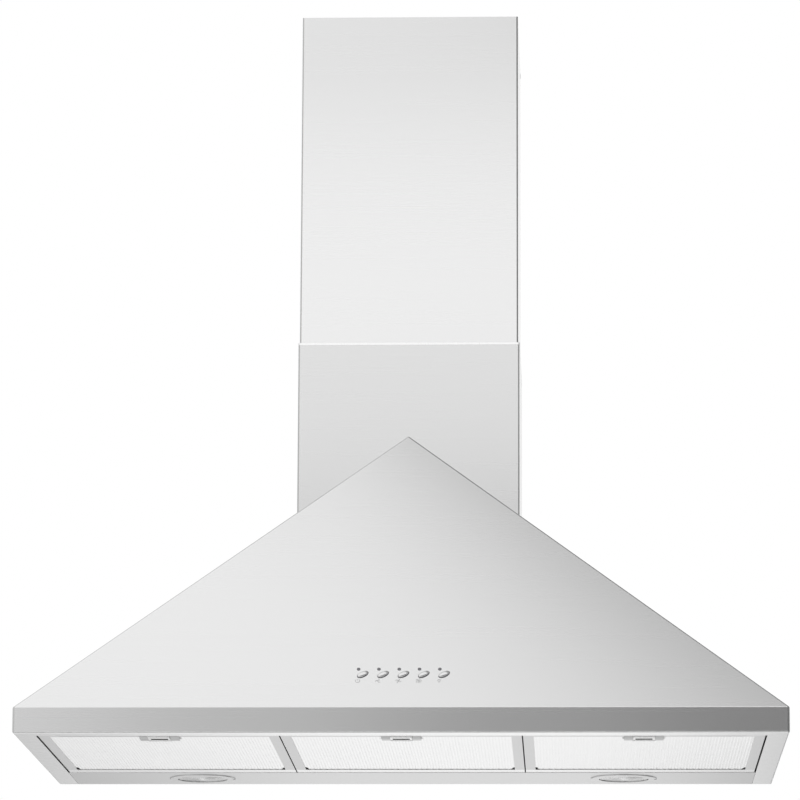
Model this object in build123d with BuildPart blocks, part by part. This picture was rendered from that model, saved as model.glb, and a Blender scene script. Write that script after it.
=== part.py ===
"""Wall-mounted chimney range hood with a pyramid canopy, in millimetres.

+X is to the right, -Y is the front and +Z is up. The wall is the plane y = 0, the middle of the
hood is x = 0, and the canopy's lower edge is z = 0.
"""

from math import asin, cos, degrees, hypot, pi, sqrt
import os

from build123d import *

os.makedirs("parts", exist_ok=True)

# Play between loose pieces of one assembly
loose_fit = 0.2

# Canopy
hood_width = 900.0
hood_depth = 500.0
lip_height = 30.0
apex_height = 397.0
canopy_sheet = 1.0
bend_radius = 2.5
side_flange = 25.0
front_flange = 26.0
flange_upstand = 10.0
back_sheet = 1.0

# Chimney covers
cover_width = 272.0
cover_depth = 257.0
lower_cover_top = 514.0
upper_cover_top = 930.0
cover_sheet = 0.8
cover_gap = 0.7
cover_overlap = 84.0
cover_return = 15.0
cover_bend = 2.0
cover_foot = 12.0
cover_foot_length = 180.0

# Bracket under the ceiling, and the screws of both covers
bracket_height = 30.0
bracket_sheet = 1.5
bracket_arm = 40.0
bracket_step = 8.0
bracket_clearance = 0.3
bracket_hole_radius = 3.0
bracket_hole_spacing = 160.0
screw_radius = 2.0
screw_hole_radius = 2.2
screw_head_radius = 3.8
screw_head_height = 2.2
screw_end = 3.0
foot_hole_spacing = 140.0

# Wall holes of the back plate
wall_hole_radius = 4.0
wall_hole_spacing_x = 240.0
wall_hole_spacing_z = 140.0
wall_hole_centre_z = 130.0

# Duct collar and damper
deck_sheet = 1.0
prow_clearance = 0.1
collar_radius = 75.0
collar_wall = 2.0
collar_height = 55.0
collar_base = 1.5
collar_base_width = 180.0
collar_base_depth = 162.0
damper_height = 24.0
damper_pin_radius = 2.0
damper_pin_clearance = 0.1
damper_knuckle_radius = 3.5
damper_knuckle_length = 10.0
damper_knuckle_spread = 34.0
damper_sheet = 1.0
damper_edge_gap = 1.5

# Blower
impeller_radius = 75.0
impeller_width = 130.0
blade_count = 36
blade_depth = 13.0
blade_sheet = 1.2
blade_lean = 35.0
impeller_ring = 2.5
impeller_disc = 2.0
hub_radius = 14.0
hub_length = 20.0
impeller_running_gap = 8.0
casing_wall = 2.0
casing_width = 150.0
volute_step = 10.0
outlet_depth = 122.0
casing_top_flange = 13.0
casing_top_flange_sheet = 2.5
inlet_radius = 62.0
motor_radius = 40.0
motor_length = 60.0
shaft_radius = 4.0
shaft_clearance = 0.05
shaft_overhang = 2.0
spider_sheet = 2.0
spider_arm_width = 14.0
spider_reach = 10.0
grille_ring = 3.0
grille_ring_count = 3
blower_screw_inset = 8.0
blower_drop = 135.0

# Electrical box
box_width = 110.0
box_height = 70.0
box_depth = 38.0
box_wall = 2.0
box_centre_x = -235.0
box_centre_z = 95.0
lid_sheet = 2.0
capacitor_radius = 15.0
capacitor_length = 62.0
terminal_width = 60.0
terminal_height = 16.0
terminal_depth = 14.0
gland_radius = 10.0
gland_bore = 4.5
gland_x = 100.0
gland_y = -28.0
gland_height = 14.0
gland_nut_radius = 13.0
gland_nut_height = 5.0

# Lamp panel and lamps
lamp_panel_depth = 117.5
lamp_panel_sheet = 1.0
panel_side_gap = 0.3
rail_height = 13.0
rail_flange = 6.0
rail_setback = 12.5
rail_sheet = 1.0
lamp_from_side = 187.0
lamp_from_wall = 61.0
lamp_trim_radius = 41.0
lamp_trim_height = 1.5
lamp_tube_radius = 35.8
lamp_tube_wall = 1.8
lamp_tube_height = 12.0
lamp_hole_clearance = 0.3
lamp_ledge = 3.0
lamp_ledge_height = 1.5
lamp_lens_sheet = 2.0
lamp_can_height = 28.0
lamp_can_wall = 1.5
bulb_radius = 9.0
bulb_height = 17.0
trim_notch_width = 5.0
trim_notch_depth = 3.0

# Grease filters
filter_count = 3
filter_side_gap = 2.0
filter_middle_gap = 1.5
filter_front_gap = 1.5
filter_rear_gap = 1.0
filter_bottom = 0.5
filter_height = 9.0
filter_sheet = 0.8
filter_side_rail = 12.0
filter_front_rail = 12.0
filter_rear_rail_width = 24.0
face_slot_length = 106.0
face_slot_width = 5.0
face_slot_pitch = 12.0
layer_count = 4
layer_sheet = 1.2
layer_pitch = 1.5
tab_width = 30.0
tab_reach = 8.0
tab_sheet = 1.0
tab_spacing = 180.0
tab_clearance = 0.3

# Filter latches
latch_width = 46.0
latch_depth = 38.0
latch_height = 8.0
latch_pocket_width = 26.0
latch_front_wall = 4.5
latch_rear_wall = 2.0
latch_pocket_height = 6.0
latch_travel = 6.0
latch_running_gap = 0.3
handle_length = 24.0
handle_drop = 1.5
finger_slot_width = 20.0
finger_slot_length = 11.0
finger_slot_from_front = 8.5
tongue_width = 15.0
tongue_sheet = 2.0
tongue_hold = 4.0

# Push buttons and the control unit behind them
button_count = 5
button_pitch = 23.7
button_row_x = 3.0
button_row_up = 50.3
button_long = 14.4
button_short = 7.0
button_turn = 34.0
button_height = 2.8
button_rounding = 1.6
button_gap = 0.3
button_rim = 1.0
button_travel = 2.0
stem_radius = 2.5
stem_gap = 0.15
light_shift_x = -5.1
light_shift_up = 8.3
light_radius = 1.75
light_gap = 0.05
unit_width = 148.0
unit_low = 30.0
unit_high = 70.0
unit_depth = 17.0
unit_wall = 2.0
unit_foot = 6.0
board_sheet = 1.6
board_clearance = 0.2
switch_size = 6.0

# Places worked out from the sizes above
roof_slope = (apex_height - lip_height) / (hood_width / 2)
roof_steepness = sqrt(1 + roof_slope**2)
deck_top = lip_height + (hood_width - cover_width) / 2 * roof_slope
panel_run = hood_depth - cover_depth
panel_rise = apex_height - lip_height
panel_length = hypot(panel_run, panel_rise)
panel_normal = Vector(0, -panel_rise / panel_length, panel_run / panel_length)
front_panel = Plane(origin=(0, -hood_depth, lip_height), x_dir=(1, 0, 0), z_dir=panel_normal)
opening_width = hood_width - 2 * side_flange
opening_front = -hood_depth + front_flange
cut_depth = 40.0

FRONT_LOW = (Align.CENTER, Align.MIN, Align.MIN)
BACK_LOW = (Align.CENTER, Align.MAX, Align.MIN)
BACK = (Align.CENTER, Align.MAX, Align.CENTER)
LOW = (Align.CENTER, Align.CENTER, Align.MIN)


def save(part, name):
    """Labels a finished piece and writes it to its own file."""
    part.label = name
    export_step(part, f"parts/{name}.step")


def canopy_form(inset, bottom, back, radius):
    """The canopy's solid shape with its sloping faces moved in by inset and its bends rounded."""
    half = hood_width / 2 - inset
    eave = lip_height + inset * (roof_slope - roof_steepness)
    ridge = apex_height - inset * roof_steepness
    sloping_face = Plane(origin=front_panel.origin - panel_normal * inset, z_dir=panel_normal)
    with BuildPart() as form:
        with BuildSketch(Plane.XZ.offset(-back)):
            Polygon((-half, bottom), (half, bottom), (half, eave), (0, ridge), (-half, eave), align=None)
        extrude(amount=hood_depth - inset + back)
        split(bisect_by=sloping_face, keep=Keep.BOTTOM)
        back_edges = form.faces().sort_by(Axis.Y)[-1].edges()
        ridge_edge = form.edges().filter_by(Axis.Y).sort_by(Axis.Z)[-1:]
        fillet(form.edges() - back_edges - ridge_edge, radius=radius)
    return form.part


# Canopy: one folded skin with a lip and a flange turned in under the edge
inner_form = canopy_form(canopy_sheet, canopy_sheet, back_sheet, bend_radius - canopy_sheet)
with BuildPart() as canopy_shell:
    add(canopy_form(0, 0, -back_sheet, bend_radius))
    add(inner_form, mode=Mode.SUBTRACT)
    # opening under the canopy, with the flange's side edges turned up
    with Locations((0, opening_front, -canopy_sheet)):
        Box(opening_width, hood_depth, 3 * canopy_sheet, align=FRONT_LOW, mode=Mode.SUBTRACT)
    for side in (-1, 1):
        with Locations((side * (opening_width + canopy_sheet) / 2, -back_sheet, 0)):
            Box(canopy_sheet, -opening_front - back_sheet, flange_upstand, align=BACK_LOW)
    # room for the chimney
    with Locations((0, back_sheet, deck_top - cut_depth)):
        Box(cover_width, cover_depth + back_sheet, apex_height, align=BACK_LOW, mode=Mode.SUBTRACT)
    # holes for the buttons and their lights
    button_places = [
        (button_row_x + (number - (button_count - 1) / 2) * button_pitch, button_row_up)
        for number in range(button_count)
    ]
    light_places = [(x + light_shift_x, up + light_shift_up) for x, up in button_places]
    with BuildSketch(front_panel.offset(-2 * canopy_sheet)):
        with Locations(*button_places):
            Ellipse(button_long / 2 + button_gap, button_short / 2 + button_gap, rotation=button_turn)
        with Locations(*light_places):
            Circle(light_radius + light_gap)
    extrude(amount=3 * canopy_sheet, mode=Mode.SUBTRACT)
save(canopy_shell.part, "canopy_shell")

with BuildPart() as back_plate:
    with BuildSketch(Plane.XZ) as outline:
        Polygon(
            (-hood_width / 2, 0),
            (hood_width / 2, 0),
            (hood_width / 2, lip_height),
            (cover_width / 2, deck_top),
            (-cover_width / 2, deck_top),
            (-hood_width / 2, lip_height),
            align=None,
        )
        side_corners = outline.vertices().group_by(Axis.X)[0] + outline.vertices().group_by(Axis.X)[-1]
        fillet(side_corners, radius=bend_radius)
        with Locations((0, wall_hole_centre_z)):
            with GridLocations(wall_hole_spacing_x, wall_hole_spacing_z, 2, 2):
                Circle(wall_hole_radius, mode=Mode.SUBTRACT)
    extrude(amount=back_sheet)
save(back_plate.part, "back_plate")

# Deck: closes the canopy under the chimney, with a wall that closes the prow in front of it
collar_y = -cover_depth / 2
collar_top = deck_top + collar_height
foot_screw_x = cover_width / 2 - cover_sheet - cover_foot / 2
foot_screw_y = -cover_depth / 2
blower_screw_spacing_x = collar_base_width - 2 * blower_screw_inset
blower_screw_spacing_y = collar_base_depth - 2 * blower_screw_inset

with BuildPart() as prow_wall:
    with BuildSketch(Plane.XZ.offset(cover_depth)):
        with Locations((0, deck_top - deck_sheet)):
            Rectangle(cover_width, apex_height - deck_top, align=(Align.CENTER, Align.MIN))
    extrude(amount=deck_sheet)
    prow_inset = canopy_sheet + prow_clearance
    add(canopy_form(prow_inset, prow_inset, 0, bend_radius), mode=Mode.INTERSECT)

with BuildPart() as chimney_deck:
    with BuildSketch(Plane.XY.offset(deck_top - deck_sheet)):
        with Locations((0, -back_sheet)):
            Rectangle(cover_width, cover_depth - back_sheet, align=(Align.CENTER, Align.MAX))
        with Locations((0, collar_y)):
            Circle(collar_radius - collar_wall, mode=Mode.SUBTRACT)
            with GridLocations(blower_screw_spacing_x, blower_screw_spacing_y, 2, 2):
                Circle(screw_hole_radius, mode=Mode.SUBTRACT)
        with Locations((0, foot_screw_y)):
            with GridLocations(2 * foot_screw_x, foot_hole_spacing, 2, 2):
                Circle(screw_hole_radius, mode=Mode.SUBTRACT)
        with Locations((gland_x, gland_y)):
            Circle(gland_radius + loose_fit, mode=Mode.SUBTRACT)
    extrude(amount=deck_sheet)
    add(prow_wall.part)
save(chimney_deck.part, "chimney_deck")


def cover_channel(width, depth, wall_gap, bottom, top):
    """A folded cover, open at the back between two narrow returns."""
    with BuildSketch() as inside:
        with Locations((0, -wall_gap - cover_sheet)):
            Rectangle(width - 2 * cover_sheet, depth - 2 * cover_sheet, align=(Align.CENTER, Align.MAX))
        fillet(inside.vertices().group_by(Axis.Y)[0], radius=cover_bend - cover_sheet)
        with Locations((0, -wall_gap)):
            Rectangle(width - 2 * cover_return, 2 * cover_sheet, align=(Align.CENTER, Align.MAX))
    with BuildPart() as channel:
        with BuildSketch(Plane.XY.offset(bottom)) as section:
            with Locations((0, -wall_gap)):
                Rectangle(width, depth, align=(Align.CENTER, Align.MAX))
            fillet(section.vertices().group_by(Axis.Y)[0], radius=cover_bend)
            add(inside.sketch, mode=Mode.SUBTRACT)
        extrude(amount=top - bottom)
    return channel.part


# Lower cover: stands on the deck on two feet turned inwards
with BuildPart() as chimney_lower:
    add(cover_channel(cover_width, cover_depth, 0, deck_top, lower_cover_top))
    with BuildSketch(Plane.XY.offset(deck_top)):
        for side in (-1, 1):
            with Locations((side * foot_screw_x, foot_screw_y)):
                Rectangle(cover_foot, cover_foot_length)
        with Locations((0, foot_screw_y)):
            with GridLocations(2 * foot_screw_x, foot_hole_spacing, 2, 2):
                Circle(screw_hole_radius, mode=Mode.SUBTRACT)
    extrude(amount=cover_sheet)
save(chimney_lower.part, "chimney_lower")

# Upper cover: slides inside the lower one, and is screwed to the bracket at its top
upper_inset = cover_sheet + cover_gap
upper_width = cover_width - 2 * upper_inset
upper_inside = upper_width / 2 - cover_sheet
cover_screw_y = -bracket_arm + bracket_step
cover_screw_z = upper_cover_top - bracket_height / 2
side_hole = Plane(origin=(0, cover_screw_y, cover_screw_z), x_dir=(0, 1, 0), z_dir=(1, 0, 0))

with BuildPart() as chimney_upper:
    add(
        cover_channel(
            upper_width,
            cover_depth - 2 * upper_inset,
            upper_inset,
            lower_cover_top - cover_overlap,
            upper_cover_top,
        )
    )
    with BuildSketch(side_hole):
        Circle(screw_hole_radius)
    extrude(amount=upper_width, both=True, mode=Mode.SUBTRACT)
save(chimney_upper.part, "chimney_upper")

with BuildPart() as chimney_bracket:
    arm_x = upper_inside - bracket_clearance - bracket_sheet / 2
    strap_x = upper_width / 2 - cover_return - bracket_step
    strap_y = -bracket_sheet / 2
    with BuildSketch(Plane.XY.offset(upper_cover_top - bracket_height)):
        with BuildLine():
            Polyline(
                (-arm_x, -bracket_arm),
                (-arm_x, -bracket_step),
                (-strap_x, -bracket_step),
                (-strap_x, strap_y),
                (strap_x, strap_y),
                (strap_x, -bracket_step),
                (arm_x, -bracket_step),
                (arm_x, -bracket_arm),
            )
        trace(line_width=bracket_sheet)
    extrude(amount=bracket_height)
    with BuildSketch(side_hole):
        Circle(screw_hole_radius)
    extrude(amount=upper_width, both=True, mode=Mode.SUBTRACT)
    with BuildSketch(Plane.XZ.offset(-bracket_sheet)):
        with Locations((0, cover_screw_z)):
            with GridLocations(bracket_hole_spacing, 1, 2, 1):
                Circle(bracket_hole_radius)
    extrude(amount=3 * bracket_sheet, mode=Mode.SUBTRACT)
save(chimney_bracket.part, "chimney_bracket")


def pan_screw(seat, shank_length):
    """A pan-head screw: its head stands on the seat plane and its shank goes down through it."""
    with BuildPart() as screw:
        with BuildSketch(seat):
            Circle(screw_head_radius)
        extrude(amount=screw_head_height)
        fillet(screw.edges().filter_by(GeomType.CIRCLE)[0], radius=screw_head_height / 3)
        with BuildSketch(seat):
            Circle(screw_radius)
        extrude(amount=-shank_length)
    return screw.part


cover_screw_length = cover_sheet + bracket_clearance + bracket_sheet + screw_end
with BuildPart() as upper_cover_screws:
    for side in (-1, 1):
        seat_origin = (side * upper_width / 2, cover_screw_y, cover_screw_z)
        add(pan_screw(Plane(origin=seat_origin, z_dir=(side, 0, 0)), cover_screw_length))
save(upper_cover_screws.part, "upper_cover_screws")

with BuildPart() as lower_cover_screws:
    for side in (-1, 1):
        for end in (-1, 1):
            seat_y = foot_screw_y + end * foot_hole_spacing / 2
            seat_origin = (side * foot_screw_x, seat_y, deck_top + cover_sheet)
            add(pan_screw(Plane(origin=seat_origin), cover_sheet + deck_sheet + screw_end))
save(lower_cover_screws.part, "lower_cover_screws")

# Duct collar with its two damper flaps, which open upwards on one pin
damper_z = deck_top + damper_height
collar_bore = collar_radius - collar_wall
damper_axis = Plane(origin=(0, collar_y, damper_z), x_dir=(0, 1, 0), z_dir=(1, 0, 0))

with BuildPart() as duct_collar:
    with BuildSketch(Plane.XY.offset(deck_top)):
        with Locations((0, collar_y)):
            Rectangle(collar_base_width, collar_base_depth)
            with GridLocations(blower_screw_spacing_x, blower_screw_spacing_y, 2, 2):
                Circle(screw_hole_radius, mode=Mode.SUBTRACT)
    extrude(amount=collar_base)
    with BuildSketch(Plane.XY.offset(deck_top)):
        with Locations((0, collar_y)):
            Circle(collar_radius)
    extrude(amount=collar_height)
    with BuildSketch(Plane.XY.offset(deck_top)):
        with Locations((0, collar_y)):
            Circle(collar_bore)
    extrude(amount=collar_height, mode=Mode.SUBTRACT)
    with BuildSketch(damper_axis):
        Circle(damper_pin_radius)
    extrude(amount=collar_radius, both=True, mode=Mode.SUBTRACT)
save(duct_collar.part, "duct_collar")

with BuildPart() as damper_pin:
    with BuildSketch(damper_axis):
        Circle(damper_pin_radius)
    extrude(amount=collar_radius - collar_wall / 4, both=True)
save(damper_pin.part, "damper_pin")


def damper_flap(side, knuckle_places):
    """A half-round flap; side is -1 for the front flap and 1 for the rear one."""
    flap_radius = collar_bore - damper_edge_gap
    straight_edge = damper_knuckle_radius + damper_edge_gap / 2
    with BuildPart() as flap:
        with BuildSketch(Plane.XY.offset(damper_z - damper_sheet / 2)):
            with Locations((0, collar_y)):
                Circle(flap_radius)
                Rectangle(3 * flap_radius, 2 * straight_edge, mode=Mode.SUBTRACT)
            with Locations((0, collar_y - side * flap_radius)):
                Rectangle(3 * flap_radius, 2 * flap_radius, mode=Mode.SUBTRACT)
            for place in knuckle_places:
                with Locations((place, collar_y + side * straight_edge / 2)):
                    Rectangle(damper_knuckle_length, 2 * straight_edge)
        extrude(amount=damper_sheet)
        for place in knuckle_places:
            with BuildSketch(damper_axis.offset(place)):
                Circle(damper_knuckle_radius)
            extrude(amount=damper_knuckle_length / 2, both=True)
        with BuildSketch(damper_axis):
            Circle(damper_pin_radius + damper_pin_clearance)
        extrude(amount=collar_radius, both=True, mode=Mode.SUBTRACT)
    return flap.part


knuckle_step = damper_knuckle_length + damper_edge_gap
save(damper_flap(-1, (-damper_knuckle_spread - knuckle_step, damper_knuckle_spread)), "damper_flap_front")
save(damper_flap(1, (-damper_knuckle_spread, damper_knuckle_spread + knuckle_step)), "damper_flap_rear")

# Blower: a volute casing in two halves, hung under the deck with its outlet below the collar
volute_start = impeller_radius + impeller_running_gap + casing_wall
volute_right = volute_step + volute_start + 2 * volute_step
outlet_left = volute_right - outlet_depth
blower_y = collar_y - (volute_right + outlet_left) / 2
casing_top = deck_top - deck_sheet
blower_z = casing_top - blower_drop
cutoff_angle = 90 - degrees(asin(outlet_left / volute_start))


def blower_plane(along=0.0):
    """The plane across the blower's shaft, at a distance along it."""
    return Plane(origin=(along, blower_y, blower_z), x_dir=(0, 1, 0), z_dir=(1, 0, 0))


with BuildPart() as blower_case:
    with BuildSketch(blower_plane(-casing_width / 2)):
        with BuildLine():
            first = CenterArc((0, 0), volute_start, cutoff_angle, 180 - cutoff_angle)
            second = CenterArc((volute_step, 0), volute_start + volute_step, 180, 90)
            third = CenterArc((volute_step, volute_step), volute_start + 2 * volute_step, 270, 90)
            Polyline(third @ 1, (volute_right, blower_drop), (outlet_left, blower_drop), first @ 0)
        make_face()
    extrude(amount=casing_width)
    offset(amount=-casing_wall, openings=blower_case.faces().sort_by(Axis.Z)[-1])
    with BuildSketch(blower_plane()):
        Circle(inlet_radius)
    extrude(amount=casing_width, both=True, mode=Mode.SUBTRACT)
    with BuildSketch(Plane.XY.offset(casing_top)):
        with Locations((0, collar_y)):
            Rectangle(casing_width + 2 * casing_top_flange, outlet_depth + 2 * casing_top_flange)
            Rectangle(casing_width - 2 * casing_wall, outlet_depth - 2 * casing_wall, mode=Mode.SUBTRACT)
            with GridLocations(blower_screw_spacing_x, blower_screw_spacing_y, 2, 2):
                Circle(screw_hole_radius, mode=Mode.SUBTRACT)
    extrude(amount=-casing_top_flange_sheet)

with BuildPart() as blower_case_left:
    add(blower_case.part)
    split(bisect_by=Plane.YZ, keep=Keep.BOTTOM)
save(blower_case_left.part, "blower_case_left")

with BuildPart() as blower_case_right:
    add(blower_case.part)
    split(bisect_by=Plane.YZ, keep=Keep.TOP)
save(blower_case_right.part, "blower_case_right")

with BuildPart() as blower_screws:
    for side in (-1, 1):
        for end in (-1, 1):
            seat_x = side * blower_screw_spacing_x / 2
            seat_y = collar_y + end * blower_screw_spacing_y / 2
            seat = Plane(origin=(seat_x, seat_y, deck_top + collar_base))
            add(pan_screw(seat, collar_base + deck_sheet + casing_top_flange_sheet + screw_end))
save(blower_screws.part, "blower_screws")

with BuildPart() as inlet_grille:
    with BuildSketch(blower_plane(-casing_width / 2)):
        for ring_number in range(grille_ring_count):
            ring_share = (grille_ring_count - ring_number) / grille_ring_count
            ring_outer = (inlet_radius + grille_ring) * ring_share
            Circle(ring_outer)
            Circle(ring_outer - grille_ring, mode=Mode.SUBTRACT)
        with PolarLocations(0, 4, angular_range=180):
            Rectangle(2 * inlet_radius + grille_ring, grille_ring)
    extrude(amount=-grille_ring)
save(inlet_grille.part, "inlet_grille")

# Impeller: a centre disc with blades to both sides, turning with its shaft
with BuildPart() as impeller:
    with BuildSketch(blower_plane(-impeller_width / 2)):
        blade_middle = impeller_radius - blade_depth * cos(blade_lean * pi / 180) / 2 - blade_sheet / 2
        with PolarLocations(blade_middle, blade_count):
            Rectangle(blade_depth, blade_sheet, rotation=blade_lean)
    extrude(amount=impeller_width)
    for along in (-impeller_width / 2, impeller_width / 2 - impeller_ring):
        with BuildSketch(blower_plane(along)):
            Circle(impeller_radius)
            Circle(impeller_radius - blade_depth, mode=Mode.SUBTRACT)
        extrude(amount=impeller_ring)
    with BuildSketch(blower_plane()):
        Circle(impeller_radius)
    extrude(amount=impeller_disc / 2, both=True)
    with BuildSketch(blower_plane()):
        Circle(hub_radius)
    extrude(amount=hub_length / 2, both=True)
    with BuildSketch(blower_plane()):
        Circle(shaft_radius)
    extrude(amount=hub_length, both=True, mode=Mode.SUBTRACT)
save(impeller.part, "impeller")

motor_back = casing_width / 2
motor_front = motor_back - motor_length
with BuildPart() as motor_shaft:
    with BuildSketch(blower_plane(-hub_length / 2 - shaft_overhang)):
        Circle(shaft_radius)
    extrude(amount=motor_back + hub_length / 2 - shaft_overhang)
save(motor_shaft.part, "motor_shaft")

with BuildPart() as motor_body:
    with BuildSketch(blower_plane(motor_front)):
        Circle(motor_radius)
    extrude(amount=motor_length)
    fillet(motor_body.edges().filter_by(GeomType.CIRCLE), radius=shaft_radius)
    with BuildSketch(blower_plane(motor_front)):
        Circle(shaft_radius + shaft_clearance)
    extrude(amount=motor_length - shaft_overhang, mode=Mode.SUBTRACT)
save(motor_body.part, "motor_body")

with BuildPart() as motor_bracket:
    with BuildSketch(blower_plane(motor_back)):
        Circle(motor_radius)
        with PolarLocations(0, 3, start_angle=90):
            with Locations(((inlet_radius + spider_reach) / 2, 0)):
                Rectangle(inlet_radius + spider_reach, spider_arm_width)
    extrude(amount=spider_sheet)
save(motor_bracket.part, "motor_bracket")

# Electrical box on the back plate
box_back = -back_sheet
with BuildPart() as power_box:
    with Locations((box_centre_x, box_back, box_centre_z)):
        Box(box_width, box_depth - lid_sheet, box_height, align=BACK)
    offset(amount=-box_wall, openings=power_box.faces().sort_by(Axis.Y)[0])
save(power_box.part, "power_box")

with BuildPart() as power_box_lid:
    with Locations((box_centre_x, box_back - box_depth + lid_sheet, box_centre_z)):
        Box(box_width, lid_sheet, box_height, align=BACK)
    fillet(power_box_lid.faces().sort_by(Axis.Y)[0].edges(), radius=lid_sheet / 2)
save(power_box_lid.part, "power_box_lid")

box_floor_z = box_centre_z - box_height / 2 + box_wall
box_inner_y = box_back - box_wall
with BuildPart() as capacitor:
    capacitor_y = box_inner_y - capacitor_radius - loose_fit
    capacitor_z = box_floor_z + capacitor_radius + loose_fit
    capacitor_end = box_centre_x - capacitor_length / 2
    with BuildSketch(Plane(origin=(capacitor_end, capacitor_y, capacitor_z), z_dir=(1, 0, 0))):
        Circle(capacitor_radius)
    extrude(amount=capacitor_length)
    fillet(capacitor.edges().filter_by(GeomType.CIRCLE), radius=box_wall)
save(capacitor.part, "capacitor")

with BuildPart() as terminal_block:
    terminal_z = box_centre_z + box_height / 2 - box_wall - terminal_height
    with Locations((box_centre_x, box_inner_y, terminal_z)):
        Box(terminal_width, terminal_depth, terminal_height, align=BACK)
        with GridLocations(terminal_width / 4, 1, 3, 1):
            Box(box_wall, terminal_depth, terminal_height / 2, align=BACK_LOW, mode=Mode.SUBTRACT)
save(terminal_block.part, "terminal_block")

with BuildPart() as cable_gland:
    with BuildSketch(Plane.XY.offset(deck_top - deck_sheet - gland_nut_height)):
        with Locations((gland_x, gland_y)):
            RegularPolygon(gland_nut_radius, 6)
    extrude(amount=gland_nut_height)
    with BuildSketch(Plane.XY.offset(deck_top)):
        with Locations((gland_x, gland_y)):
            RegularPolygon(gland_nut_radius, 6)
    extrude(amount=gland_nut_height)
    with BuildSketch(Plane.XY.offset(deck_top - gland_height / 2)):
        with Locations((gland_x, gland_y)):
            Circle(gland_radius)
    extrude(amount=1.5 * gland_height)
    with BuildSketch(Plane.XY.offset(deck_top - gland_height)):
        with Locations((gland_x, gland_y)):
            Circle(gland_bore)
    extrude(amount=3 * gland_height, mode=Mode.SUBTRACT)
save(cable_gland.part, "cable_gland")

# Lamp panel along the wall, and the rail behind the filters
lamp_x = hood_width / 2 - lamp_from_side
lamp_places = [(-lamp_x, -lamp_from_wall), (lamp_x, -lamp_from_wall)]
panel_width = opening_width - 2 * panel_side_gap
panel_front = -back_sheet - lamp_panel_depth
lamp_hole_radius = lamp_tube_radius + lamp_hole_clearance

with BuildPart() as lamp_panel:
    with BuildSketch():
        with Locations((0, -back_sheet)):
            Rectangle(panel_width, lamp_panel_depth, align=(Align.CENTER, Align.MAX))
        with Locations(*lamp_places):
            Circle(lamp_hole_radius, mode=Mode.SUBTRACT)
    extrude(amount=lamp_panel_sheet)
save(lamp_panel.part, "lamp_panel")

with BuildPart() as filter_rail:
    with Locations((0, panel_front + rail_setback, lamp_panel_sheet)):
        Box(panel_width, rail_flange, rail_sheet, align=FRONT_LOW)
        Box(panel_width, rail_sheet, rail_height, align=FRONT_LOW)
save(filter_rail.part, "filter_rail")

for side_name, place in zip(("left", "right"), lamp_places):
    lens_bottom = lamp_ledge_height
    tube_bore = lamp_tube_radius - lamp_tube_wall
    with BuildPart() as lamp_ring:
        with BuildSketch(Plane.XY.offset(-lamp_trim_height)):
            with Locations(place):
                Circle(lamp_trim_radius)
        extrude(amount=lamp_trim_height)
        fillet(lamp_ring.faces().sort_by(Axis.Z)[0].edges(), radius=lamp_trim_height / 2)
        with BuildSketch(Plane.XY):
            with Locations(place):
                Circle(lamp_tube_radius)
        extrude(amount=lamp_tube_height)
        with BuildSketch(Plane.XY.offset(lens_bottom)):
            with Locations(place):
                Circle(tube_bore)
        extrude(amount=lamp_tube_height, mode=Mode.SUBTRACT)
        with BuildSketch(Plane.XY.offset(-lamp_trim_height)):
            with Locations(place):
                Circle(tube_bore - lamp_ledge)
        extrude(amount=lamp_tube_height, mode=Mode.SUBTRACT)
        with Locations((place[0] + lamp_trim_radius, place[1], -lamp_trim_height)):
            Box(2 * trim_notch_depth, trim_notch_width, lamp_trim_height, align=LOW, mode=Mode.SUBTRACT)
    save(lamp_ring.part, f"lamp_ring_{side_name}")

    with BuildPart() as lamp_lens:
        with BuildSketch(Plane.XY.offset(lens_bottom)):
            with Locations(place):
                Circle(tube_bore - loose_fit)
        extrude(amount=lamp_lens_sheet)
    save(lamp_lens.part, f"lamp_lens_{side_name}")

    can_bore = lamp_hole_radius + lamp_hole_clearance
    with BuildPart() as lamp_housing:
        with BuildSketch(Plane.XY.offset(lamp_panel_sheet)):
            with Locations(place):
                Circle(can_bore + lamp_can_wall)
        extrude(amount=lamp_can_height)
        fillet(lamp_housing.faces().sort_by(Axis.Z)[-1].edges(), radius=2 * lamp_can_wall)
        with BuildSketch(Plane.XY.offset(lamp_panel_sheet)):
            with Locations(place):
                Circle(can_bore)
        extrude(amount=lamp_can_height - lamp_can_wall, mode=Mode.SUBTRACT)
    save(lamp_housing.part, f"lamp_housing_{side_name}")

    bulb_top = lamp_panel_sheet + lamp_can_height - lamp_can_wall
    with BuildPart() as lamp_bulb:
        with BuildSketch(Plane.XY.offset(bulb_top)):
            with Locations(place):
                Circle(bulb_radius)
        extrude(amount=-bulb_height)
        fillet(lamp_bulb.faces().sort_by(Axis.Z)[0].edges(), radius=bulb_radius / 2)
    save(lamp_bulb.part, f"lamp_bulb_{side_name}")

# Grease filters: a channel frame round a slotted face and four layers of mesh, with a latch
middle_gaps = (filter_count - 1) * filter_middle_gap
filter_width = (opening_width - 2 * filter_side_gap - middle_gaps) / filter_count
filter_front = opening_front + filter_front_gap
filter_rear = panel_front - filter_rear_gap
filter_depth = filter_rear - filter_front
filter_pitch = filter_width + filter_middle_gap
window_width = filter_width - 2 * filter_side_rail
window_depth = filter_depth - filter_front_rail - filter_rear_rail_width
window_front = filter_front + filter_front_rail
pack_width = filter_width - 2 * filter_sheet - 2 * loose_fit
pack_depth = filter_depth - 2 * filter_sheet - 2 * loose_fit
face_bottom = filter_bottom + filter_sheet
latch_front = filter_front + filter_sheet + loose_fit
latch_rear = latch_front + latch_depth
layer_front = latch_rear + loose_fit
layer_depth = latch_front + pack_depth - layer_front
pocket_front = latch_front + latch_front_wall
pocket_depth = latch_depth - latch_front_wall - latch_rear_wall
tongue_bottom = canopy_sheet + latch_running_gap
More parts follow.
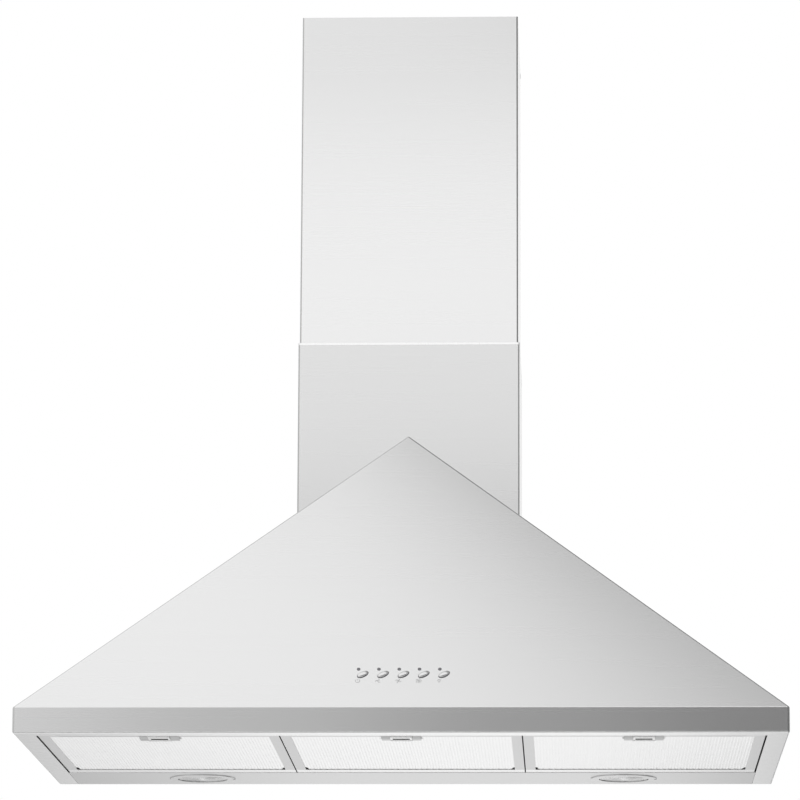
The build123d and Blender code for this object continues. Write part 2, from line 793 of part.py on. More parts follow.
tongue_front = opening_front - tongue_hold
tongue_slot_width = tongue_width + 2 * latch_running_gap
tongue_slot_height = tongue_sheet + 2 * latch_running_gap
handle_front = pocket_front + latch_running_gap
handle_width = latch_pocket_width - 2 * latch_running_gap
handle_top = filter_bottom + latch_pocket_height - latch_running_gap
slot_rows = int((window_depth - latch_depth) / face_slot_pitch)
slot_columns = 2


def latch_room(centre_x, height):
    """Takes the latch's place out of the block in hand."""
    with Locations((centre_x, latch_front - loose_fit, 0)):
        Box(
            latch_width + 2 * loose_fit,
            latch_depth + 2 * loose_fit,
            height,
            align=FRONT_LOW,
            mode=Mode.SUBTRACT,
        )


def filter_frame(centre_x):
    """The folded channel round the filter, with two tabs that hook in behind it."""
    with BuildPart() as frame:
        with Locations((centre_x, filter_front, filter_bottom)):
            Box(filter_width, filter_depth, filter_height, align=FRONT_LOW)
        fillet(frame.edges().filter_by(Axis.Z), radius=filter_sheet * 2)
        with Locations((centre_x, filter_front + filter_sheet, face_bottom)):
            inner_height = filter_height - 2 * filter_sheet
            inner_width = filter_width - 2 * filter_sheet
            inner_depth = filter_depth - 2 * filter_sheet
            Box(inner_width, inner_depth, inner_height, align=FRONT_LOW, mode=Mode.SUBTRACT)
        with Locations((centre_x, window_front, 0)):
            Box(window_width, window_depth, 2 * filter_height, align=FRONT_LOW, mode=Mode.SUBTRACT)
        latch_room(centre_x, filter_bottom + filter_sheet)
        with Locations((centre_x, filter_front - filter_sheet, tongue_bottom - latch_running_gap)):
            Box(
                tongue_slot_width,
                3 * filter_sheet,
                tongue_slot_height,
                align=FRONT_LOW,
                mode=Mode.SUBTRACT,
            )
        with Locations((centre_x, filter_rear - filter_sheet, lamp_panel_sheet + tab_clearance)):
            with GridLocations(tab_spacing, 1, 2, 1):
                Box(tab_width, tab_reach + filter_sheet, tab_sheet, align=FRONT_LOW)
    return frame.part


def filter_face(centre_x):
    """The slotted sheet that shows in the frame's window."""
    with BuildPart() as face:
        with Locations((centre_x, latch_front, face_bottom)):
            Box(pack_width, pack_depth, filter_sheet, align=FRONT_LOW)
        with BuildSketch(Plane.XY.offset(face_bottom)):
            slots_middle = window_front + (window_depth + latch_depth - filter_front_rail) / 2
            with Locations((centre_x, slots_middle)):
                with GridLocations(window_width / slot_columns, face_slot_pitch, slot_columns, slot_rows):
                    SlotOverall(face_slot_length, face_slot_width)
        extrude(amount=filter_sheet, mode=Mode.SUBTRACT)
        latch_room(centre_x, filter_height)
    return face.part


def filter_layers(centre_x):
    """The stacked sheets of expanded metal above the face, behind the latch."""
    with BuildPart() as layers:
        for number in range(layer_count):
            layer_bottom = face_bottom + filter_sheet + loose_fit + number * layer_pitch
            with Locations((centre_x, layer_front, layer_bottom)):
                Box(pack_width, layer_depth, layer_sheet, align=FRONT_LOW)
    return layers.part


def latch_housing(centre_x):
    """The latch's body, with a pocket for the handle and a slot for the tongue."""
    with BuildPart() as housing:
        with Locations((centre_x, latch_front, filter_bottom)):
            Box(latch_width, latch_depth, latch_height, align=FRONT_LOW)
        fillet(housing.edges().filter_by(Axis.Z).group_by(Axis.Y)[-1], radius=latch_rear_wall)
        with Locations((centre_x, pocket_front, filter_bottom)):
            Box(latch_pocket_width, pocket_depth, latch_pocket_height, align=FRONT_LOW, mode=Mode.SUBTRACT)
        with Locations((centre_x, latch_front, tongue_bottom - latch_running_gap)):
            Box(
                tongue_slot_width,
                latch_front_wall,
                tongue_slot_height,
                align=FRONT_LOW,
                mode=Mode.SUBTRACT,
            )
    return housing.part


def latch_slider(centre_x):
    """The handle with its finger slot, and the tongue that rests on the canopy's flange."""
    with BuildPart() as slider:
        with Locations((centre_x, handle_front, -handle_drop)):
            Box(handle_width, handle_length, handle_top + handle_drop, align=FRONT_LOW)
        fillet(slider.faces().sort_by(Axis.Z)[0].edges().filter_by(Axis.X), radius=handle_drop / 2)
        with Locations((centre_x, handle_front + finger_slot_from_front, -handle_drop)):
            Box(
                finger_slot_width,
                finger_slot_length,
                handle_top,
                align=FRONT_LOW,
                mode=Mode.SUBTRACT,
            )
        with Locations((centre_x, tongue_front, tongue_bottom)):
            Box(tongue_width, handle_front - tongue_front, tongue_sheet, align=FRONT_LOW)
    return slider.part


for number, name in enumerate(("left", "middle", "right")):
    filter_x = (number - 1) * filter_pitch
    save(filter_frame(filter_x), f"filter_frame_{name}")
    save(filter_face(filter_x), f"filter_face_{name}")
    save(filter_layers(filter_x), f"filter_layers_{name}")
    save(latch_housing(filter_x), f"latch_housing_{name}")
    save(latch_slider(filter_x), f"latch_slider_{name}")

# Push buttons, standing through the front panel, and the control unit behind it
rim_top = -canopy_sheet - button_gap
rim_bottom = rim_top - button_rim
unit_face = rim_bottom - button_travel - button_gap
stem_bottom = unit_face - unit_depth / 2
board_top = unit_face - unit_depth + board_sheet + unit_wall
switch_top = stem_bottom - button_travel - button_gap
unit_middle = (unit_low + unit_high) / 2

for number, place in enumerate(button_places):
    with BuildPart() as button:
        with BuildSketch(front_panel.offset(rim_top)):
            with Locations(place):
                Ellipse(button_long / 2, button_short / 2, rotation=button_turn)
        extrude(amount=button_height - rim_top)
        outer_edge = button.edges().sort_by(lambda edge: front_panel.to_local_coords(edge.center()).Z)[-1]
        fillet(outer_edge, radius=button_rounding)
        with BuildSketch(front_panel.offset(rim_bottom)):
            with Locations(place):
                Ellipse(button_long / 2 + button_rim, button_short / 2 + button_rim, rotation=button_turn)
        extrude(amount=button_rim)
        with BuildSketch(front_panel.offset(stem_bottom)):
            with Locations(place):
                Circle(stem_radius)
        extrude(amount=rim_bottom - stem_bottom)
    save(button.part, f"button_{number + 1}")

with BuildPart() as control_housing:
    with BuildSketch(front_panel.offset(unit_face)):
        with Locations((0, unit_middle)):
            Rectangle(unit_width, unit_high - unit_low)
    extrude(amount=-unit_depth)
    with BuildSketch(front_panel.offset(unit_face - unit_wall)):
        with Locations((0, unit_middle)):
            Rectangle(unit_width - 2 * unit_wall, unit_high - unit_low - 2 * unit_wall)
    extrude(amount=-unit_depth, mode=Mode.SUBTRACT)
    with BuildSketch(front_panel.offset(unit_face)):
        with Locations(*button_places):
            Circle(stem_radius + stem_gap)
        with Locations(*light_places):
            Circle(light_radius + light_gap)
    extrude(amount=-unit_wall, mode=Mode.SUBTRACT)
    # feet that stand on the back of the panel at both ends
    with BuildSketch(front_panel.offset(unit_face - unit_wall)):
        with Locations((0, unit_middle)):
            with GridLocations(unit_width + unit_foot, 1, 2, 1):
                Rectangle(unit_foot, unit_high - unit_low)
    extrude(amount=-canopy_sheet - unit_face + unit_wall)
save(control_housing.part, "control_housing")

with BuildPart() as control_board:
    with BuildSketch(front_panel.offset(board_top)):
        with Locations((0, unit_middle)):
            board_width = unit_width - 2 * unit_wall - 2 * board_clearance
            Rectangle(board_width, unit_high - unit_low - 2 * unit_wall - 2 * board_clearance)
    extrude(amount=-board_sheet)
save(control_board.part, "control_board")

with BuildPart() as button_switches:
    with BuildSketch(front_panel.offset(board_top)):
        with Locations(*button_places):
            Rectangle(switch_size, switch_size)
    extrude(amount=switch_top - board_top)
save(button_switches.part, "button_switches")

with BuildPart() as light_pipes:
    with BuildSketch(front_panel.offset(board_top + light_gap)):
        with Locations(*light_places):
            Circle(light_radius)
    extrude(amount=-board_top - light_gap)
save(light_pipes.part, "light_pipes")
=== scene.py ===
"""The range hood's looks: materials, filter mesh, lamp lenses, control marks, studio and camera."""

import math

import bpy
from mathutils import Matrix, Vector


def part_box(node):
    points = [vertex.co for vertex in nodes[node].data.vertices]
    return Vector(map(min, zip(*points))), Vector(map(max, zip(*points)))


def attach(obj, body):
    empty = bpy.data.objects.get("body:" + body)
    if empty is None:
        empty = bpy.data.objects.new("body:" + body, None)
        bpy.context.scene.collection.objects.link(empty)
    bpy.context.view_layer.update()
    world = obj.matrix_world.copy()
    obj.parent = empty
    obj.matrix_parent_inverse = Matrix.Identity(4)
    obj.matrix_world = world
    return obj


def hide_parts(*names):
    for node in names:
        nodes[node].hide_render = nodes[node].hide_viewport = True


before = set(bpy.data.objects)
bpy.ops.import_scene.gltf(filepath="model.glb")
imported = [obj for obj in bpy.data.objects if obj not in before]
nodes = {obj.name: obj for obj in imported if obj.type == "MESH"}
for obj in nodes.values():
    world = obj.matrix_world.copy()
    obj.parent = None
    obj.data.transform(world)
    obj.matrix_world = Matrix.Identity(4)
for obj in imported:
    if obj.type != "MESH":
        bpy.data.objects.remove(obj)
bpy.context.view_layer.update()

# All lengths are in metres.
# Camera: below the hood, almost square on to it, far away with a long lens
camera_place = Vector((0.2, -5.7866, -0.688))
camera_yaw = -0.03807
camera_pitch = 0.20147
camera_roll = 0.00431
camera_lens = 207.22
camera_sensor = 36
camera_reach = 200

# Studio: the floor fades to white between two distances from its middle
floor_height = -1.7
floor_size = 60.0
floor_colour = (0.86, 0.86, 0.86)
fade_from = 2.0
fade_to = 12.0
world_light = 0.6
lamp_aim = Vector((0, -0.25, 0.4))

# Front panel of the canopy: the middle of its foot, and its own directions
panel_foot = Vector((0, -0.5, 0.03))
panel_up = Vector((0, 0.55213, 0.83376))
panel_normal = Vector((0, -0.83376, 0.55213))

# Expanded metal of the filters, and how much smaller the next sheets' diamonds look behind it
diamond_half_width = 0.00367
diamond_half_length = 0.0034
diamond_hole = 0.42
strand_lift = 0.0004
strand_middle = 0.0003
strand_sheet = 0.0002
pack_narrower = 0.9
pack_shorter = 0.8

# Filters: the window of a frame with its cut rear corners, the gaps round the mesh, and the fill behind it
filter_sides = ("left", "middle", "right")
filter_pitch = 0.2825
window_rear = -0.1435
window_half = 0.1285
corner_cut_x = 0.0045
corner_cut_y = 0.02
mesh_rear_gap = 0.0007
mesh_gap = 0.0003
fill_low = 0.0023
fill_high = 0.008

# Rails of the filter frames, made lighter as painted light: a rear rail's underside lies below a height, the
# outer rails far to the sides
rail_under = 0.0006
outer_rail_from = 0.4

# Slot for a fingertip in the latch handle, dark inside as painted shade
slot_half = 0.0118
slot_front = -0.4584
slot_rear = -0.4455
slot_depth = -0.0012

# Cheeks of the latch housing, beside the handle, which keep the darker tone while the rest of the housing is
# painted lighter
cheek_inner = 0.0127
cheek_rear = -0.44

# Raised rim of the latch housing
bezel_front = -0.4602
bezel_bottom = -0.0012
bezel_slope = 0.0045
bezel_round = 0.001
bezel_gap = 0.0003
latch_travel = 0.006

# Signs and lights on the front panel, in its own plane: across and up. A fan's sign has blades and a radius
row_centre = 0.003
button_pitch = 0.0237
mark_up = 0.0404
mark_shift = -0.0058
mark_line = 0.0006
mark_sheet = 0.00006
off_radius = 0.0025
fan_signs = ((3, 0.003), (4, 0.0032), (5, 0.0034))
bulb_radius = 0.0015
light_up = 0.0586
light_shift = -0.0051
light_radius = 0.00195
light_line = 0.0004
light_sheet = 0.0002

# Push buttons: ovals turned on the panel, crowned, with their heights measured out from it
button_up = 0.0503
button_turn = math.radians(34)
button_sides = 48
half_long = 0.0069
half_short = 0.0034
foot_reach = 0.001
foot_bottom = -0.0023
foot_top = -0.0013
wall_top = 0.0008
crown = 0.0028
dome_steps = 9
stem_radius = 0.0025
stem_bottom = -0.0131
# A dark ring of painted shade round each button: how far its inner and outer edges lie out from the button,
# and its thickness
shade_ring_inner = 0.00032
shade_ring_outer = 0.00075
shade_ring_sheet = 0.0001

# Rim along the top of the lower cover
rim_height = 0.0026
rim_proud = 0.0003
rim_corner = 0.0024
rim_steps = 6
rim_rear_gap = 0.003

# Screws at the top of the upper cover: a head's profile, as heights above the cover and shares of its radius
screw_sides = 24
screw_profile = [(-0.0035, 0.0), (-0.0035, 0.45), (0.0, 0.45), (0.0, 1.0), (0.0002, 1.0)]
screw_profile += [(0.0005, 0.8), (0.0006, 0.5), (0.0006, 0.4), (-0.0002, 0.4), (-0.0002, 0.0)]

# Lamp glass: its ribs fade out over the last sixth of the way to the edge, and a painted highlight lies
# round each lamp's middle
rib_pitch = 0.0024
rib_depth = 0.0004
rib_rings = 28
rib_sides = 180
rib_fade = 6
glass_crown = 0.0007
glass_drop = 0.0021
glass_reach = 0.0307
glass_core = 0.006
lamp_across = 0.263
lamp_along = -0.061

# Smooth pieces keep their edges sharp where they turn by more than this
sharp_angle = math.radians(50)

# How far a face looks in one direction, from 0 to 1: bends look a little sideways, ends look straight out
bend_from = 0.08
bend_to = 0.6
side_from = 0.3
front_from = 0.5
straight_from = 0.9

# Scales of the brushed grain, across and along it
hair_fine = 2600
hair_long = 4
streak_fine = 260
streak_long = 1.2


# ---------------------------------------------------------------- node helpers
class Nodes:
    """A node tree, with short ways to add nodes and to join them."""

    def __init__(self, tree):
        self.tree = tree

    def add(self, kind, **settings):
        node = self.tree.nodes.new(kind)
        for key, value in settings.items():
            setattr(node, key, value)
        return node

    def give(self, target, value):
        """Links the input to value where that is another node's output, and otherwise writes it there."""
        if isinstance(value, bpy.types.NodeSocket):
            self.tree.links.new(value, target)
        else:
            target.default_value = value

    def feed(self, node, **inputs):
        for key, value in inputs.items():
            self.give(node.inputs[key.replace("_", " ")], value)
        return node

    def math(self, operation, first, second=0.0):
        node = self.add("ShaderNodeMath", operation=operation)
        for target, value in zip(node.inputs, (first, second)):
            self.give(target, value)
        return node.outputs[0]

    def vector(self, operation, first, second=(0, 0, 0)):
        node = self.add("ShaderNodeVectorMath", operation=operation)
        for target, value in zip(node.inputs, (first, second)):
            self.give(target, value)
        return node.outputs["Value" if operation in ("DOT_PRODUCT", "LENGTH") else "Vector"]

    def split(self, vector):
        return self.feed(self.add("ShaderNodeSeparateXYZ"), Vector=vector).outputs

    def between(self, value, low, high):
        above = self.math("GREATER_THAN", value, low)
        return self.math("MULTIPLY", above, self.math("LESS_THAN", value, high))

    def spread(self, value, low, high, source_low=0.3, source_high=0.7):
        node = self.add("ShaderNodeMapRange")
        self.feed(node, Value=value, From_Min=source_low, From_Max=source_high, To_Min=low, To_Max=high)
        return node.outputs[0]

    def weigh(self, first, second, share):
        """The sum of two numbers, the first one times share and the second one times the rest."""
        part = self.math("MULTIPLY", first, share)
        return self.math("ADD", part, self.math("MULTIPLY", second, 1 - share))

    def choose(self, factor, first, second):
        """One number where factor is 0 and the other where it is 1."""
        node = self.add("ShaderNodeMix")
        for index, value in ((0, factor), (2, first), (3, second)):
            self.give(node.inputs[index], value)
        return node.outputs[0]

    def mix(self, factor, first, second):
        """One colour where factor is 0 and the other where it is 1."""
        node = self.add("ShaderNodeMix", data_type="RGBA")
        self.give(node.inputs[0], factor)
        for index, value in ((6, first), (7, second)):
            self.give(node.inputs[index], (*value, 1) if isinstance(value, tuple) else value)
        return node.outputs[2]

    def mix_shaders(self, factor, first, second):
        node = self.add("ShaderNodeMixShader")
        for target, value in zip(node.inputs, (factor, first, second)):
            self.give(target, value)
        return node.outputs[0]


class Shader(Nodes):
    """A material made of nodes around one Principled surface, with its patterns in the piece's own frame."""

    def __init__(self, name, colour, roughness, metallic=0.0):
        self.material = bpy.data.materials.new(name)
        self.material.use_nodes = True
        super().__init__(self.material.node_tree)
        self.surface = self.tree.nodes["Principled BSDF"]
        self.places = self.add("ShaderNodeTexCoord").outputs
        self.colour = colour
        self.roughness = roughness
        self.set("Base Color", (*colour, 1))
        self.set("Roughness", roughness)
        self.set("Metallic", metallic)

    def set(self, socket, value):
        self.give(self.surface.inputs[socket], value)

    def stretched(self, factors):
        return self.vector("MULTIPLY", self.places["Object"], factors)

    def noise(self, factors, detail=3.0):
        node = self.add("ShaderNodeTexNoise")
        self.feed(node, Vector=self.stretched(factors), Scale=1.0, Detail=detail, Roughness=0.55)
        return node.outputs["Fac"]

    def cells(self, factors):
        return self.feed(self.add("ShaderNodeTexVoronoi"), Vector=self.stretched(factors), Scale=1.0)

    def diamonds(self, half_x, half_y):
        """A lattice of strands: 1 on a strand's line, falling to 0 in the middle of a hole."""
        place = self.split(self.stretched((1 / half_x, 1 / half_y, 1)))
        rising = self.math("PINGPONG", self.math("ADD", place["X"], place["Y"]), 1.0)
        falling = self.math("PINGPONG", self.math("SUBTRACT", place["X"], place["Y"]), 1.0)
        return self.math("MAXIMUM", rising, falling)

    def toned(self, value, amount):
        """The base colour, made darker and lighter by up to amount as value runs from 0.3 to 0.7."""
        darker = tuple(c * (1 - amount) for c in self.colour)
        lighter = tuple(min(c * (1 + amount), 1) for c in self.colour)
        return self.mix(self.spread(value, 0, 1), darker, lighter)

    def tint(self, value, amount):
        self.set("Base Color", self.toned(value, amount))

    def roughen(self, value, smoother, rougher):
        """Roughness between smoother and rougher than the base, as value runs from 0.3 to 0.7."""
        self.set("Roughness", self.spread(value, self.roughness - smoother, self.roughness + rougher))

    def bump(self, height, strength, distance):
        node = self.add("ShaderNodeBump")
        self.feed(node, Height=height, Strength=strength, Distance=distance)
        self.set("Normal", node.outputs[0])


def brushed(
    name, colour, roughness, grain=0.004, anisotropy=0.7, rails=None, bends=None, underside_painted_light=None, front=None
):
    """Brushed metal, which may carry painted light and shade in its base colour: lighter rear and outer
    rails, darker bends, a lighter underside and lighter front faces.
    """
    s = Shader(name, colour, roughness, 1.0)
    facing = s.split(s.places["Normal"])
    sideways = s.math("ABSOLUTE", facing["X"])
    side = s.math("GREATER_THAN", sideways, side_from)
    hairs_x = s.noise((hair_long, hair_fine, hair_fine), 1.0)
    hairs_y = s.noise((hair_fine, hair_long, hair_fine), 1.0)
    streaks_x = s.noise((streak_long, streak_fine, streak_fine), 2.0)
    streaks_y = s.noise((streak_fine, streak_long, streak_fine), 2.0)
    hairs = s.choose(side, hairs_x, hairs_y)
    both = s.weigh(hairs, s.choose(side, streaks_x, streaks_y), 0.4)
    shade = s.toned(both, grain)
    # Painted light: the outer rails and the rear rails' undersides get lighter tones
    if rails:
        rear_rail_painted_light, outer = rails
        place = s.split(s.places["Object"])
        outside = s.math("GREATER_THAN", s.math("ABSOLUTE", place["X"]), outer_rail_from)
        shade = s.mix(outside, shade, outer)
        rear = s.math("GREATER_THAN", place["Y"], window_rear)
        under = s.math("LESS_THAN", place["Z"], rail_under)
        shade = s.mix(s.math("MULTIPLY", rear, under), shade, rear_rail_painted_light)
    # Painted shade: bends that face forward get darker tones, one on the left and one on the right
    if bends:
        left, right = bends
        turned = s.between(sideways, bend_from, bend_to)
        forward = s.math("LESS_THAN", facing["Y"], -bend_from)
        bend_shade = s.mix(s.math("GREATER_THAN", facing["X"], 0.0), left, right)
        shade = s.mix(s.math("MULTIPLY", turned, forward), shade, bend_shade)
    # Painted light: faces that look straight down get a lighter tone
    if underside_painted_light:
        shade = s.mix(s.math("LESS_THAN", facing["Z"], -straight_from), shade, underside_painted_light)
    # Painted highlight: faces that look straight forward get a lighter tone
    if front:
        shade = s.mix(s.math("LESS_THAN", facing["Y"], -straight_from), shade, front)
    s.set("Base Color", shade)
    s.roughen(both, 0.006, 0.006)
    grain_line = s.mix(side, (1, 0, 0), (0, 1, 0))
    s.set("Anisotropic", anisotropy)
    normal = s.add("ShaderNodeNewGeometry").outputs["Normal"]
    s.set("Tangent", s.vector("NORMALIZE", s.vector("CROSS_PRODUCT", normal, grain_line)))
    s.bump(hairs, 0.02, 0.00005)
    return s.material


def mesh_pack(name, colour, roughness):
    """The next sheets of expanded metal, as they show through the first one's holes."""
    s = Shader(name, colour, roughness, 1.0)
    strands = s.diamonds(diamond_half_width * pack_narrower, diamond_half_length * pack_shorter)
    darker = tuple(c * 0.8 for c in colour)
    s.set("Base Color", s.mix(s.spread(strands, 0, 1, 0.55, 0.8), darker, colour))
    s.roughen(s.noise((500, 500, 500)), 0.05, 0.05)
    s.bump(strands, 0.25, 0.0003)
    return s.material


def latch_shader(name, colour, roughness):
    """Cast metal for a latch, with its tone, the place on it, and the distance across from its middle."""
    s = Shader(name, colour, roughness, 1.0)
    tooth = s.noise((700, 700, 700))
    s.roughen(tooth, 0.04, 0.05)
    s.bump(tooth, 0.12, 0.0002)
    place = s.split(s.places["Object"])
    return s, s.toned(tooth, 0.04), place, s.math("PINGPONG", place["X"], filter_pitch / 2)


def latch_handle(name, colour, roughness, dark, front):
    """The latch handle's metal, with painted shade inside the slot for a fingertip and a painted highlight
    on its front faces.
    """
    s, tone, place, reach = latch_shader(name, colour, roughness)
    across = s.math("LESS_THAN", reach, slot_half)
    along = s.between(place["Y"], slot_front, slot_rear)
    deep = s.math("GREATER_THAN", place["Z"], slot_depth)
    inside = s.math("MULTIPLY", s.math("MULTIPLY", across, along), deep)
    forward = s.math("LESS_THAN", s.split(s.places["Normal"])["Y"], -front_from)
    # Painted shade inside the slot, and a painted highlight on the front faces
    s.set("Base Color", s.mix(inside, s.mix(forward, tone, front), dark))
    s.set("Metallic", s.math("MULTIPLY", 0.3, s.math("SUBTRACT", 1.0, inside)))
    return s.material


def latch_body(name, colour, roughness, painted_light_tone):
    """The latch housing's metal with painted light and shade: its cheeks beside the handle in the darker
    tone, the rest of it in a lighter one.
    """
    s, tone, place, reach = latch_shader(name, colour, roughness)
    beside = s.math("GREATER_THAN", reach, cheek_inner)
    ahead = s.math("LESS_THAN", place["Y"], cheek_rear)
    # Painted light: the housing takes the lighter tone everywhere but on its cheeks
    s.set("Base Color", s.mix(s.math("MULTIPLY", beside, ahead), painted_light_tone, tone))
    return s.material


def satin_metal(name, colour, roughness, fine=600.0, grain=0.04):
    """Rolled or cast metal with a fine even tooth."""
    s = Shader(name, colour, roughness, 1.0)
    tooth = s.noise((fine, fine, fine))
    both = s.weigh(tooth, s.noise((18, 18, 18), 2.0), 0.6)
    s.tint(both, grain)
    s.roughen(both, 0.04, 0.05)
    s.bump(tooth, 0.15, 0.0002)
    return s.material


def galvanised(name, colour, roughness):
    """Zinc-coated sheet with its crystal flakes."""
    s = Shader(name, colour, roughness, 1.0)
    flakes = s.cells((130, 130, 130))
    both = s.weigh(s.split(flakes.outputs["Color"])["X"], s.noise((12, 12, 12)), 0.35)
    s.tint(both, 0.07)
    s.roughen(both, 0.03, 0.04)
    s.bump(flakes.outputs["Distance"], 0.06, 0.0002)
    return s.material


def chrome(name, colour, roughness):
    """Plated metal with faint polishing marks."""
    s = Shader(name, colour, roughness, 1.0)
    marks = s.noise((1400, 1400, 160), 2.0)
    s.tint(marks, 0.02)
    s.set("Roughness", s.spread(marks, roughness * 0.7, roughness * 1.4))
    s.bump(marks, 0.04, 0.0001)
    return s.material


def moulded(name, colour, roughness, tooth=1800.0, depth=0.2):
    """Moulded plastic with a fine spark-eroded tooth."""
    s = Shader(name, colour, roughness)
    grain = s.noise((tooth, tooth, tooth), 2.0)
    both = s.weigh(grain, s.noise((25, 25, 25), 2.0), 0.5)
    s.tint(both, 0.06)
    s.roughen(both, 0.06, 0.06)
    s.bump(grain, depth, 0.0001)
    return s.material


def ribbed_glass(name, colour):
    """Pale lamp glass, slightly milky inside its ribs, with a painted highlight round each lamp's middle and
    darker beyond it.
    """
    s = Shader(name, colour, 0.12)
    haze = s.noise((300, 300, 300), 2.0)
    place = s.split(s.places["Object"])
    across = s.math("SUBTRACT", s.math("ABSOLUTE", place["X"]), lamp_across)
    along = s.math("SUBTRACT", place["Y"], lamp_along)
    square = s.math("ADD", s.math("MULTIPLY", across, across), s.math("MULTIPLY", along, along))
    # Painted highlight: the glass is lighter within about glass_core of each lamp's middle
    painted_highlight = s.spread(s.math("SQRT", square), 1, 0, glass_core * 0.7, glass_core * 1.3)
    beyond_highlight = tuple(c * 0.62 for c in colour)
    s.set("Base Color", s.mix(painted_highlight, beyond_highlight, colour))
    s.set("Roughness", s.spread(haze, 0.16, 0.3))
    s.set("Metallic", 0.75)
    s.set("IOR", 1.5)
    s.bump(haze, 0.05, 0.0001)
    return s.material


def frosted(name, colour, roughness):
    """Frosted lamp glass."""
    s = Shader(name, colour, roughness)
    haze = s.noise((900, 900, 900))
    s.tint(haze, 0.03)
    s.roughen(haze, 0.05, 0.05)
    s.set("Coat Weight", 0.3)
    s.bump(haze, 0.08, 0.0001)
    return s.material


def board(name, colour, roughness):
    """Solder-masked board with its copper tracks faintly raised under the green."""
    s = Shader(name, colour, roughness)
    tracks = s.add("ShaderNodeTexBrick")
    s.feed(tracks, Vector=s.stretched((260, 1, 260)), Scale=1.0, Mortar_Size=0.04)
    specks = s.noise((500, 500, 500), 2.0)
    darker = tuple(c * 0.8 for c in colour)
    lighter = tuple(c * 1.25 for c in colour)
    s.set("Base Color", s.mix(s.spread(specks, 0, 1), darker, lighter))
    s.roughen(specks, 0.05, 0.08)
    s.bump(tracks.outputs["Fac"], 0.2, 0.0002)
    return s.material


# ---------------------------------------------------------------- finishes, one for each material slot
def grey(level):
    return (level, level, level)


finishes = {
    "brushed_steel": brushed("brushed_steel", grey(0.86), 0.27),
    "galvanised_steel": galvanised("galvanised_steel", (0.62, 0.63, 0.64), 0.42),
    # Filter frames: their outer rails, the rear rails' undersides and their front faces are lighter, as
    # painted light
    "filter_aluminium": brushed(
        "filter_aluminium", grey(0.66), 0.36, 0.025, 0.3, (grey(0.95), grey(0.79)), front=grey(0.87)
    ),
    "mesh_aluminium": satin_metal("mesh_aluminium", grey(0.97), 0.3, 600.0, 0.02),
    # Latch housings: grey 0.9 is painted light on all but the cheeks beside the handle
    "latch_metal": latch_body("latch_metal", grey(0.47), 0.3, grey(0.9)),
    "button_chrome": chrome("button_chrome", grey(0.82), 0.1),
    "trim_chrome": chrome("trim_chrome", grey(0.68), 0.3),
    "lens_glass": ribbed_glass("lens_glass", grey(0.95)),
    "bulb_white": frosted("bulb_white", (0.92, 0.91, 0.88), 0.35),
    "light_clear": moulded("light_clear", (0.16, 0.16, 0.17), 0.3, 900.0, 0.05),
    "casing_plastic": moulded("casing_plastic", (0.12, 0.12, 0.13), 0.5),
    "impeller_plastic": moulded("impeller_plastic", (0.2, 0.2, 0.21), 0.45),
    "screw_steel": satin_metal("screw_steel", grey(0.6), 0.28, 900.0),
    "motor_metal": satin_metal("motor_metal", (0.34, 0.34, 0.35), 0.4, 700.0),
    "box_plastic": moulded("box_plastic", (0.75, 0.75, 0.74), 0.45),
    "capacitor_white": moulded("capacitor_white", (0.85, 0.85, 0.83), 0.3, 900.0, 0.08),
    "board_green": board("board_green", (0.1, 0.3, 0.17), 0.35),
}
mesh_fill = mesh_pack("mesh_fill", grey(0.93), 0.34)
mark_ink = moulded("mark_ink", grey(0.32), 0.4, 2500.0, 0.05)
rim_polish = chrome("rim_polish", grey(0.97), 0.25)

# Nodes with a finish of their own, some of them lighter or darker copies of the brushed steel as painted
# light and shade. Folded steel has painted shade in its bends, one tone in its left bends and one in its
# right bends; the canopy's underside and the lamp panel's front faces get painted light
canopy_bend_shade = (grey(0.62), grey(0.36))
upper_bend_shade = (grey(0.45), grey(0.2))
lower_bend_shade = (grey(0.5), grey(0.4))
own_finish = {
    "canopy_shell": brushed("canopy_steel", grey(0.86), 0.27, bends=canopy_bend_shade, underside_painted_light=grey(0.96)),
    "chimney_upper": brushed("upper_cover_steel", grey(0.9), 0.27, bends=upper_bend_shade),
    "chimney_lower": brushed("lower_cover_steel", grey(0.79), 0.27, bends=lower_bend_shade),
    "lamp_panel": brushed("lamp_panel_steel", grey(0.69), 0.3, front=grey(0.97)),
}
# Latch handles: grey 0.05 is painted shade inside the finger slot, grey 0.97 a painted highlight on the
# front faces
handle_metal = latch_handle("handle_metal", grey(0.85), 0.28, grey(0.05), grey(0.97))
for side in filter_sides:
    own_finish[f"latch_slider_{side}"] = handle_metal


def dress(node, material):
    for held in node.material_slots:
        held.link = "OBJECT"
        held.material = material


for name, node in nodes.items():
    slot = node.material_slots[0].material.name.split(".")[0]
    dress(node, own_finish.get(name) or finishes[slot])


# ---------------------------------------------------------------- pieces
def piece(name, points, faces, slot, body, smooth=False, material=None):
    """A mesh piece in the row frame, with its slot's finish or its own, riding on a body."""
    mesh = bpy.data.meshes.new(name)
    mesh.from_pydata([tuple(p) for p in points], [], faces)
    mesh.validate()
    mesh.polygons.foreach_set("use_smooth", [smooth] * len(mesh.polygons))
    item = bpy.data.objects.new(name, mesh)
    bpy.context.scene.collection.objects.link(item)
    mesh.materials.append(material or finishes[slot])
    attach(item, body)
    return item


def keep_edges_sharp(item):
    item.modifiers.new("edges", "EDGE_SPLIT").split_angle = sharp_angle


def bands(first, count, rings):
    """The faces between rings of count points each, which follow one another from the point first on."""
    faces = []
    for level in range(rings - 1):
        a = first + level * count
        b = a + count
        for k in range(count):
            n = (k + 1) % count
            faces.append((a + k, a + n, b + n, b + k))
    return faces


def round_face(count, first, tip):
    """The triangles between the point tip and the ring of points that starts at first."""
    return [(tip, first + (k + 1) % count, first + k) for k in range(count)]


